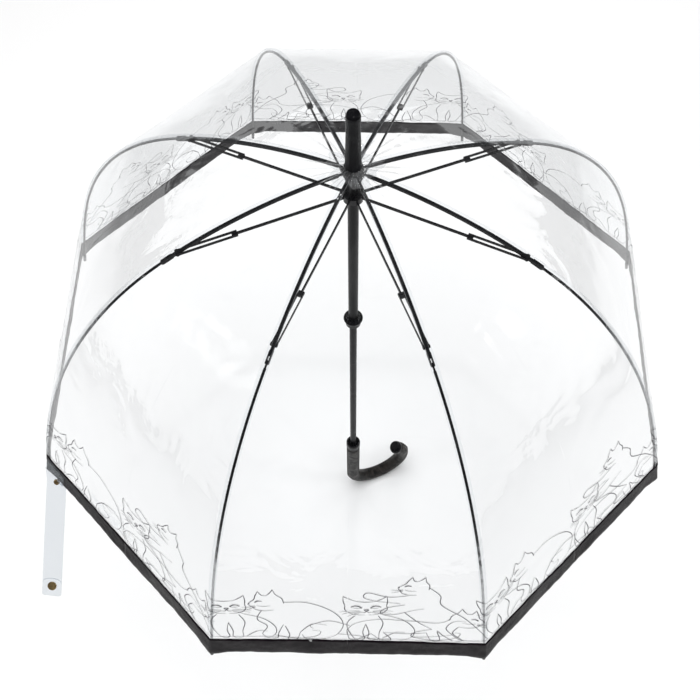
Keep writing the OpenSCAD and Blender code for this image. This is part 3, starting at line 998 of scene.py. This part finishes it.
@dataclass
class Drawings:
    """The printed row of cats above the binding, the same on every panel."""

    ribbing: Ribbing
    canopy: Canopy
    finishes: Finishes
    ink_off: float = 0.0006
    ground: float = 0.0445

    def strokes(self) -> list[Stroke]:
        """Every stroke of one panel."""
        cats = [
            *Cat(-134, 94).sitting(),
            *Cat(-60, 102).loafing(),
            *Cat(20, 98).sitting(),
            *Cat(84, 134).reaching(),
            *Cat(74, 68, -1).walking(),
        ]
        ground = Stroke(((-158, 2), (-90, 5), (-30, 1), (40, 4), (100, 1), (158, 3)), 0.8)
        return [*cats, ground]

    def halves(self, stroke: Stroke) -> Iterator[tuple[int, list[Point]]]:
        """Cuts a stroke at the middle of the panel.

        Args:
            stroke: The stroke.

        Yields:
            Which rib the run belongs to, 0 for the left one or 1 for the right one, and its points.
        """
        run: list[Point] = []
        for a, b in zip(stroke.samples(), stroke.samples()[1:]):
            run.append(a)
            if (a[0] < 0) != (b[0] < 0):
                share = a[0] / (a[0] - b[0])
                cut = (0.0, a[1] + (b[1] - a[1]) * share)
                yield (0 if a[0] < 0 else 1), [*run, cut]
                run = [cut]
        run.append(stroke.samples()[-1])
        if len(run) > 1:
            yield (0 if run[len(run) // 2][0] < 0 else 1), run

    def draw_run(self, bm: Mesh, i: int, right: int, run: list[Point], width: float) -> None:
        """Lays one run of a stroke on the film as a thin strip.

        Args:
            bm: The bmesh of the sector's print.
            i: Number of the rib on the left of the panel.
            right: 1 when the run belongs to the rib on the right.
            run: Its points in millimetres.
            width: Its width in millimetres.
        """
        line = self.ribbing.line
        rib = i + right
        last = len(run) - 1

        def place(x: float, y: float) -> Vector:
            k = min(int(round(y * last)), last)
            ahead, behind = Vector(run[min(k + 1, last)]), Vector(run[max(k - 1, 0)])
            course = (ahead - behind).normalized() if (ahead - behind).length > 1e-6 else Vector((1.0, 0.0))
            pen = 0.55 + 0.45 * math.sin(math.pi * min(1.0, 0.12 + y))
            px = run[k][0] - course.y * x * width / 2 * pen
            py = run[k][1] + course.x * x * width / 2 * pen
            s = line.length - self.ground - py / 1000
            reach = line.half_chord(s) * 1000
            across = (px - reach) / reach if right else (px + reach) / reach
            base = self.ribbing.place(rib, s, across, line.film_off)
            base = self.canopy.crumpled(base, s, across, rib)
            return base + self.ribbing.normal(rib, s) * self.ink_off

        draw_patch(bm, place, 1, last)

    def build(self) -> None:
        """Builds the print of every sector."""
        runs = [(side, run, stroke.width) for stroke in self.strokes() for side, run in self.halves(stroke)]
        for i in range(1, RIBS + 1):
            bm = bmesh.new()
            for side, run, width in runs:
                self.draw_run(bm, i - side, side, run, width)
            bmesh.ops.recalc_face_normals(bm, faces=bm.faces)
            piece = make_piece(f"cat_print_{i}", bm, self.finishes.ink)
            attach(piece, f"rod_{i}")
            self.canopy.squash(piece, i)
            LOG.info("print of sector %d", i)


# ---------------------------------------------------------------- frame


@dataclass
class SpringRods:
    """The eight thin rods that bend from the ribs down to the hem, with their tips."""

    ribbing: Ribbing
    finishes: Finishes
    radius: float = 0.0015
    start: float = 0.0065
    eye_radius: float = 0.0019
    eye_thickness: float = 0.0016
    neck_lap: float = 0.001
    tip_radius: float = 0.0022
    tip_length: float = 0.0070
    tip_grip: float = 0.012
    sides: int = 12
    stations: int = 64

    def frame(self, i: int, s: float) -> Matrix:
        """A frame on the rod's middle line."""
        slope = self.ribbing.line.slope(s)
        r, z = self.ribbing.line.point(s)
        along = self.ribbing.outward(i) * math.cos(slope) - UP * math.sin(slope)
        at = self.ribbing.outward(i) * r + UP * z
        return upright_frame(at, along, self.ribbing.sideways(i))

    def rod(self, i: int) -> Piece:
        """Builds rod i with its flattened eye and its moulded tip."""
        line = self.ribbing.line
        first, last = line.rib_len + self.start, line.length
        shares = [k / self.stations for k in range(self.stations + 1)]
        frames = [self.frame(i, first + (last - first) * share) for share in shares]
        bm = bmesh.new()
        draw_tube(bm, frames, self.radius, self.sides)
        eye = self.frame(i, line.rib_len) @ Matrix.Rotation(math.pi / 2, 4, "X")
        bmesh.ops.create_cone(
            bm, cap_ends=True, segments=24, radius1=self.eye_radius, radius2=self.eye_radius,
            depth=self.eye_thickness, matrix=eye,
        )
        neck = self.frame(i, line.rib_len + self.start / 2)
        size = (self.eye_radius * 1.3, self.eye_thickness, self.start + self.neck_lap)
        bmesh.ops.create_cube(bm, size=1.0, matrix=neck @ Matrix.Diagonal((*size, 1.0)))
        piece = make_piece(f"rod_wire_{i}", bm, self.finishes.frame)
        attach(piece, f"rod_{i}")
        return piece

    def tip(self, i: int) -> Piece:
        """Builds the ball tip that holds the binding's corner."""
        r, h = self.tip_radius, self.tip_length
        ball = quarter_turn(r, r, at_z=h)
        back = -self.tip_grip
        stem = [(0.0, back), (r * 0.8, back), (r, back / 3), (r, 0.0), (r * 0.8, 0.001)]
        bm = lathe([*stem, *ball[:-1], (0.0, h + r)], 20)
        bmesh.ops.transform(bm, matrix=self.frame(i, self.ribbing.line.length), verts=bm.verts)
        piece = make_piece(f"rod_tip_{i}", bm, self.finishes.gloss_black)
        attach(piece, f"rod_{i}")
        return piece

    def build(self) -> None:
        """Builds every rod and lets it stand for its CAD node."""
        for i in range(1, RIBS + 1):
            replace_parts(self.rod(i), f"spring_rod_{i}")
            self.tip(i)
            LOG.info("spring rod %d", i)


@dataclass
class Ferrule:
    """The tapered top piece and the gathered film round its foot."""

    finishes: Finishes
    dimple: float = 0.0012
    edge: float = 0.0007
    foot: float = 0.001
    end_length: float = 0.024
    end_wall: float = 0.0005
    rosette_radius: float = 0.026
    rosette_hole: float = 0.006
    rosette_rise: float = 0.0045
    rosette_sink: float = 0.0004
    pleats: int = 19
    pleat_depth: float = 0.0011

    def spike(self) -> Piece:
        """Builds the tapered black ferrule with a ringed end."""
        low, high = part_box("ferrule")
        tip_low, tip_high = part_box("ferrule_tip")
        base_r, end_r = (high.x - low.x) / 2, (tip_high.x - tip_low.x) / 2 + self.end_wall
        top, bottom = tip_high.z, low.z + self.foot
        cone = [
            (0.0, bottom), (base_r - 0.001, bottom), (base_r, bottom + 0.001), (base_r, bottom + 0.003),
            (base_r - 0.0006, bottom + 0.004), (end_r, high.z - self.end_length), (end_r, high.z),
            (end_r - 0.0005, high.z + 0.0006),
        ]
        ring = [(end_r - 0.0012, top), (end_r - 0.0026, top), (end_r - 0.0030, top - self.dimple)]
        button = [
            (end_r * 0.35, top - self.dimple), (end_r * 0.3, top - 0.0006), (end_r * 0.16, top - 0.0001),
            (0.0, top),
        ]
        profile = [*cone, *ring, *button]
        piece = make_piece("ferrule_spike", lathe(profile, 64, self.edge), self.finishes.gloss_black)
        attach(piece, "shaft")
        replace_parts(piece, "ferrule", "ferrule_tip")
        return piece

    def rosette(self) -> Piece:
        """Builds the pleated ring of film that is gripped under the ferrule."""
        low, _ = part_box("ferrule")
        hole = self.rosette_hole

        def place(x: float, y: float) -> Vector:
            angle = math.pi * x
            r = hole + (self.rosette_radius - hole) * y
            pleat = math.sin(self.pleats * angle) + 0.5 * math.sin(3.7 * self.pleats * angle + 6 * y)
            ragged = 1 + 0.16 * math.sin(5 * angle + 1) * y + 0.1 * math.sin(11 * angle) * y
            fold = self.pleat_depth * pleat * math.sin(math.pi * min(1.0, y + 0.15))
            z = low.z + self.rosette_rise * (1 - y) ** 2 + fold - self.rosette_sink
            return Vector((r * ragged * math.cos(angle), r * ragged * math.sin(angle), z))

        bm = bmesh.new()
        draw_patch(bm, place, 190, 8, (0.1, self.rosette_radius))
        tidy_shell(bm)
        piece = make_piece("crown_rosette", bm, self.finishes.rosette)
        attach(piece, "shaft")
        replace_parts(piece, "crown_washer")
        return piece

    def build(self) -> None:
        """Builds both pieces."""
        self.spike()
        self.rosette()
        LOG.info("ferrule and rosette")


@dataclass
class Handle:
    """The leather-covered crook, its collar and its end cap."""

    finishes: Finishes
    bend_z: float = -0.066
    crook_r: float = 0.046
    bend: float = 220.0
    turn: float = 24.0
    grip_r: float = 0.0105
    rim: float = 0.0016
    recess: float = 0.0045
    groove: float = 0.0005
    tube_gap: float = 0.0012
    seam_radius: float = 0.0009
    seam_sink: float = 0.0002
    stitch_step: float = 0.0052
    stitch_side: float = 0.0019
    stitch_radius: float = 0.0007
    cap_lap: float = 0.0004
    cap_skirt: float = 0.004
    cap_round: float = 0.0045
    straight_steps: int = 10
    bend_steps: int = 60

    def frames(self, high_z: float, radius_off: float = 0.0) -> list[Matrix]:
        """Frames down the straight part and round the crook.

        Args:
            high_z: Height of the first one.
            radius_off: How far the line stands off, away from the inside of the bend.

        Returns:
            The frames, from the top to the free end.
        """
        turned = Matrix.Rotation(math.radians(self.turn), 4, "Z")
        side = Vector((0.0, 1.0, 0.0))
        out = []
        for k in range(self.straight_steps):
            z = high_z + (self.bend_z - high_z) * k / self.straight_steps
            out.append(turned @ upright_frame(Vector((-radius_off, 0, z)), -UP, side))
        reach = self.crook_r + radius_off
        for k in range(self.bend_steps + 1):
            a = math.radians(self.bend) * k / self.bend_steps
            at = Vector((self.crook_r - reach * math.cos(a), 0, self.bend_z - reach * math.sin(a)))
            out.append(turned @ upright_frame(at, Vector((math.sin(a), 0, -math.cos(a))), side))
        return out

    def grip(self) -> Piece:
        """Builds the wrapped grip."""
        bm = bmesh.new()
        draw_tube(bm, self.frames(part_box("handle_collar")[0].z), self.grip_r, 40)
        for vert in bm.verts:
            swell = 0.00022 * noise.noise(vert.co * 120) + 0.0001 * noise.noise(vert.co * 400)
            vert.co += vert.normal * swell
        bmesh.ops.recalc_face_normals(bm, faces=bm.faces)
        piece = make_piece("grip_wrap", bm, self.finishes.leather)
        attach(piece, "shaft")
        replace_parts(piece, "handle_grip")
        return piece

    def seam(self) -> Piece:
        """Builds the raised seam along the outside of the bend, with its stitches."""
        bm = bmesh.new()
        frames = self.frames(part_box("handle_collar")[0].z - 0.001, self.grip_r - self.seam_sink)
        draw_tube(bm, frames[:-1], self.seam_radius, 8)
        run = [f.translation for f in frames]
        gone = 0.0
        for a, b, f in zip(run, run[1:], frames):
            gone += (b - a).length
            if gone >= self.stitch_step:
                gone = 0.0
                for side in (-1, 1):
                    at = f @ Matrix.Translation((0, side * self.stitch_side, 0))
                    bead = at @ Matrix.Diagonal((0.5, 0.8, 2.2, 1.0))
                    bmesh.ops.create_icosphere(bm, subdivisions=1, radius=self.stitch_radius, matrix=bead)
        piece = make_piece("grip_seam", bm, self.finishes.thread)
        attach(piece, "shaft")
        return piece

    def collar(self) -> Piece:
        """Builds the glossy cup at the top of the grip."""
        low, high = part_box("handle_collar")
        r, rim = (high.x - low.x) / 2, self.rim
        tube_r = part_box("runner_sleeve")[1].x - self.tube_gap
        inner_r, floor_z = tube_r - 0.001, high.z - self.recess
        outside = [
            (inner_r, low.z), (r - 0.0002, low.z), (r, low.z + 0.0008), (r, low.z + 0.003),
            (r - self.groove, low.z + 0.0036), (r, low.z + 0.0042), (r, high.z - rim),
        ]
        cup = [(r - rim * 0.5, high.z), (r - rim * 1.5, high.z), (r - rim * 2, high.z - rim)]
        floor = [(tube_r + 0.0012, floor_z), (inner_r, floor_z)]
        profile = [*outside, *cup, *floor]
        piece = make_piece("grip_collar", lathe(profile, 64, 0.0003), self.finishes.gloss_black)
        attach(piece, "shaft")
        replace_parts(piece, "handle_collar")
        return piece

    def cap(self) -> Piece:
        """Builds the rounded end cap of the crook."""
        end = self.frames(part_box("handle_collar")[0].z)[-1]
        r, bulge = self.grip_r + self.cap_lap, self.cap_round
        dome = quarter_turn(bulge, bulge, r - bulge, self.cap_skirt)
        profile = [(0.0, -0.0005), (r - 0.0004, -0.0005), (r, 0.0004), *dome, (0.0, 0.0087)]
        bm = lathe(profile, 48)
        bmesh.ops.transform(bm, matrix=end, verts=bm.verts)
        piece = make_piece("crook_cap", bm, self.finishes.gloss_black)
        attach(piece, "shaft")
        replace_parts(piece, "handle_cap")
        return piece

    def build(self) -> None:
        """Builds every piece of the handle."""
        for piece in (self.grip(), self.seam(), self.collar(), self.cap()):
            LOG.info("handle piece %s", piece.name)


@dataclass
class TieStrap:
    """The milky strap that closes the umbrella, with its brass rivet and snap."""

    ribbing: Ribbing
    finishes: Finishes
    rib: int = 7
    length: float = 0.169
    width: float = 0.0255
    lean: float = 49.0
    skew: float = 5.5
    lap: float = 0.030
    below: float = 0.003
    clear: float = 0.0020
    bend: float = 0.045
    thickness: float = 0.0007
    rivet_down: float = 0.008
    snap_up: float = 0.014
    weld_up: float = 0.0185
    weld_width: float = 0.0011
    weld_arch: float = 0.0065
    corner: float = 0.0022
    bow: float = 0.0012
    hung: Matrix = field(init=False)

    def __post_init__(self) -> None:
        """Finds the frame at the middle of the strap's top edge, with -Z down its length."""
        low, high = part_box("strap_rivet")
        lean, skew = math.radians(-self.lean), math.radians(self.skew)
        turn = Matrix.Rotation(lean, 4, "X") @ Matrix.Rotation(skew, 4, "Y")
        to_top = Matrix.Translation((0, 0, self.rivet_down))
        self.hung = Matrix.Translation((low + high) / 2) @ turn @ to_top

    def surface(self, x: float, z: float, off: float) -> Vector:
        """A point of the strap, which lies on the binding above and hangs free below.

        Args:
            x: Distance across from its middle.
            z: Height above its top edge; less than nothing on the hanging part.
            off: How far in front of its middle.

        Returns:
            The point, in the row frame.
        """
        line = self.ribbing.line
        hanging = self.hung @ Vector((x, -off, z))
        corner = self.ribbing.place(self.rib, line.length, 0.0, line.film_off)
        chord = self.ribbing.place(self.rib, line.length, 1.0, line.film_off) - corner
        up = z + self.below
        s = line.length - max(up, 0.0)
        across = (hanging.x - corner.x) / chord.x
        lying = self.ribbing.place(self.rib, s, across, line.film_off + self.clear + off)
        lying += UP * min(up, 0.0)
        t = min(max(-z / (self.bend * self.length), 0.0), 1.0)
        return lying.lerp(hanging, t * t * (3 - 2 * t))

    def sheet(self, name: str, top: float, bottom: float, off: float, arch: float) -> Piece:
        """Builds one layer of the strap.

        Args:
            name: Name of the piece.
            top: Height of its upper edge above the CAD strap's top.
            bottom: Height of its lower edge.
            off: How far it lies in front of the strap's middle.
            arch: How far both edges bulge up; without it the lower corners are rounded.

        Returns:
            The piece.
        """

        def place(x: float, y: float) -> Vector:
            corner = 0.0 if arch else self.corner * max(0.0, abs(x) - 0.8) / 0.2
            bulge = arch * math.sqrt(max(0.0, 1 - x * x))
            z = bottom + bulge + corner * (1 - y) + (top - bottom) * y
            down = min(max(-z / self.length, 0.0), 1.0)
            bow = self.bow * math.sin(math.pi * down) * (1 - 0.3 * x * x)
            ripple = 0.0003 * noise.noise(Vector((x, z * 60, off * 100)))
            return self.surface(x * self.width / 2, z, off + bow + ripple)

        bm = bmesh.new()
        draw_patch(bm, place, 16, 72, (self.width, top - bottom))
        bmesh.ops.recalc_face_normals(bm, faces=bm.faces)
        piece = make_piece(name, bm, self.finishes.strap)
        wall = piece.modifiers.new("wall", "SOLIDIFY")
        wall.thickness = self.thickness
        wall.offset = 0.0
        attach(piece, "tie_strap")
        return piece

    def stud(self, name: str, z: float, profile: Sequence[Point], node: str) -> Piece:
        """Builds a brass stud on both faces of the strap."""
        bm = lathe(profile, 40, 0.00015)
        nudge = 0.001
        down = self.surface(0.0, z - nudge, 0.0) - self.surface(0.0, z, 0.0)
        right = self.surface(nudge, z, 0.0) - self.surface(0.0, z, 0.0)
        turn = upright_frame(self.surface(0.0, z, 0.0), down.cross(right), right)
        bmesh.ops.transform(bm, matrix=turn, verts=bm.verts)
        piece = make_piece(name, bm, self.finishes.brass)
        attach(piece, "tie_strap")
        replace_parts(piece, node)
        return piece

    def build(self) -> None:
        """Builds the strap and its two studs."""
        strap = self.sheet("strap_film", self.lap, -self.length, 0.0, 0.0)
        weld = -self.length + self.weld_up
        line = self.sheet("strap_weld_line", weld + self.weld_width, weld, self.thickness, self.weld_arch)
        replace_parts(strap, "tie_strap")
        rivet = [
            (0.0, -0.0011), (0.0036, -0.0011), (0.0040, -0.0008), (0.0040, 0.0006), (0.0036, 0.0011),
            (0.0022, 0.0015), (0.0014, 0.0012), (0.0010, 0.0004), (0.0, 0.0003),
        ]
        snap = [
            (0.0, -0.0014), (0.0034, -0.0014), (0.0036, -0.0009), (0.0060, -0.0007), (0.0060, 0.0008),
            (0.0055, 0.0014), (0.0046, 0.0015), (0.0042, 0.0011), (0.0028, 0.0011), (0.0024, 0.0017),
            (0.0012, 0.0018), (0.0, 0.0018),
        ]
        studs = [
            self.stud("strap_rivet_head", -self.rivet_down, rivet, "strap_rivet"),
            self.stud("strap_snap_socket", self.snap_up - self.length, snap, "strap_snap"),
        ]
        LOG.info("tie strap")


def dress_frame(nodes: dict[str, Piece], finishes: Finishes) -> None:
    """Gives every CAD node that stays on show its finish.

    Args:
        nodes: The CAD nodes by name.
        finishes: The umbrella's materials.
    """
    chosen = {
        "shaft_tube": (finishes.shaft, "shaft_steel"),
        "top_notch": (finishes.satin_black, "satin_black"),
        "notch_wire": (finishes.bright, "bright_steel"),
        "catch_pins": (finishes.bright, "bright_steel"),
        "runner_sleeve": (finishes.satin_black, "satin_black"),
        "runner_crown": (finishes.gloss_black, "gloss_black"),
        "runner_wire": (finishes.bright, "bright_steel"),
        "runner_grip": (finishes.gloss_black, "gloss_black"),
        "top_catch": (finishes.bright, "bright_steel"),
        "bottom_catch": (finishes.bright, "bright_steel"),
    }
    for i in range(1, RIBS + 1):
        chosen[f"rib_{i}"] = (finishes.frame, "rib_steel")
        chosen[f"stretcher_{i}"] = (finishes.frame, "stretcher_steel")
    for name, (material, slot) in chosen.items():
        node = nodes[name]
        node.data.materials.clear()
        node.data.materials.append(material)
        LOG.info("dressed %s", name)


# ---------------------------------------------------------------- studio


@dataclass
class Studio:
    """Floor, lights and camera.

    Args:
        floor_z: Height of the floor.
        target: Point that the camera and the lights face.
    """

    floor_z: float
    target: Vector = field(default_factory=lambda: Vector((0.0, 0.0, 0.3809)))
    azimuth: float = 0.96
    elevation: float = 62.17
    distance: float = 1.3663
    lens: float = 52.6
    shift: float = -0.0046
    floor_size: float = 30.0

    def camera(self) -> None:
        """Places the camera."""
        data = bpy.data.cameras.new("camera")
        data.lens = self.lens
        data.shift_x = self.shift
        data.clip_end = 100.0
        camera = bpy.data.objects.new("camera", data)
        a, e = math.radians(self.azimuth), math.radians(self.elevation)
        back = Vector((math.sin(a) * math.cos(e), -math.cos(a) * math.cos(e), math.sin(e)))
        camera.location = self.target + back * self.distance
        camera.rotation_euler = (-back).to_track_quat("-Z", "Y").to_euler()
        bpy.context.scene.collection.objects.link(camera)
        bpy.context.scene.camera = camera

    def floor(self) -> None:
        """Lays the pale floor."""
        bm = bmesh.new()
        bmesh.ops.create_grid(bm, x_segments=1, y_segments=1, size=self.floor_size / 2)
        bmesh.ops.translate(bm, verts=bm.verts, vec=(0, 0, self.floor_z))
        floor = make_piece("studio_floor", bm, Stage("studio_floor").material())
        floor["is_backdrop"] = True

    def softbox(self, name: str, at: Triple, size: float, power: float, mirrored: bool = True) -> None:
        """Hangs a square soft light that faces the umbrella.

        Args:
            name: Name of the light.
            at: Its place.
            size: Length of its side.
            power: Its power in watts.
            mirrored: Whether glossy surfaces show it.
        """
        data = bpy.data.lights.new(name, "AREA")
        data.shape = "SQUARE"
        data.size = size
        data.energy = power
        light = bpy.data.objects.new(name, data)
        light.location = at
        light.visible_glossy = mirrored
        light.rotation_euler = (self.target - Vector(at)).to_track_quat("-Z", "Y").to_euler()
        bpy.context.scene.collection.objects.link(light)

    def world(self, strength: float) -> None:
        """Surrounds the studio with even pale light."""
        world = bpy.data.worlds.new("studio")
        world.use_nodes = True
        background = world.node_tree.nodes["Background"]
        background.inputs["Color"].default_value = (1.0, 1.0, 1.0, 1.0)
        background.inputs["Strength"].default_value = strength
        bpy.context.scene.world = world

    def build(self) -> None:
        """Builds the studio."""
        self.camera()
        self.floor()
        self.world(0.22)
        self.softbox("top_light", (0.0, 0.0, 3.4), 3.0, 122.0, mirrored=False)
        self.softbox("key_light", (-2.4, -0.9, 2.2), 0.55, 9.0)
        self.softbox("fill_light", (2.5, -0.4, 2.0), 0.5, 7.0)
        self.softbox("glint_light", (0.0, 1.15, 2.95), 0.12, 4.0)
        self.softbox("back_light", (0.3, 2.8, 1.6), 1.2, 10.0, mirrored=False)
        scene = bpy.context.scene
        scene.view_settings.view_transform = "Standard"
        scene.cycles.transparent_max_bounces = 24


def read_ribbing(frame: dict) -> Ribbing:
    """Reads the ribs' hinge and first direction from the frame's joints.


    Returns:
        The ribbing.
    """
    hinge = next(j for j in frame["joints"] if j["name"] == "rib_1_fold")
    x, y, z = hinge["pos_m"]
    return Ribbing(DomeLine((math.hypot(x, y), z)), math.atan2(y, x))


def main() -> None:
    """Builds the umbrella's looks round its frame."""
    logging.basicConfig(level=logging.INFO, format="%(name)s: %(message)s")
    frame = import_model()
    cad_low, cad_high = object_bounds()
    Studio(cad_low.z).build()
    finishes = Finishes()
    ribbing = read_ribbing(frame)
    dress_frame(frame["nodes"], finishes)
    SpringRods(ribbing, finishes).build()
    canopy = Canopy(ribbing, finishes)
    canopy.build()
    Drawings(ribbing, canopy, finishes).build()
    Ferrule(finishes).build()
    Handle(finishes).build()
    TieStrap(ribbing, finishes).build()


if __name__ == "__main__":
    main()
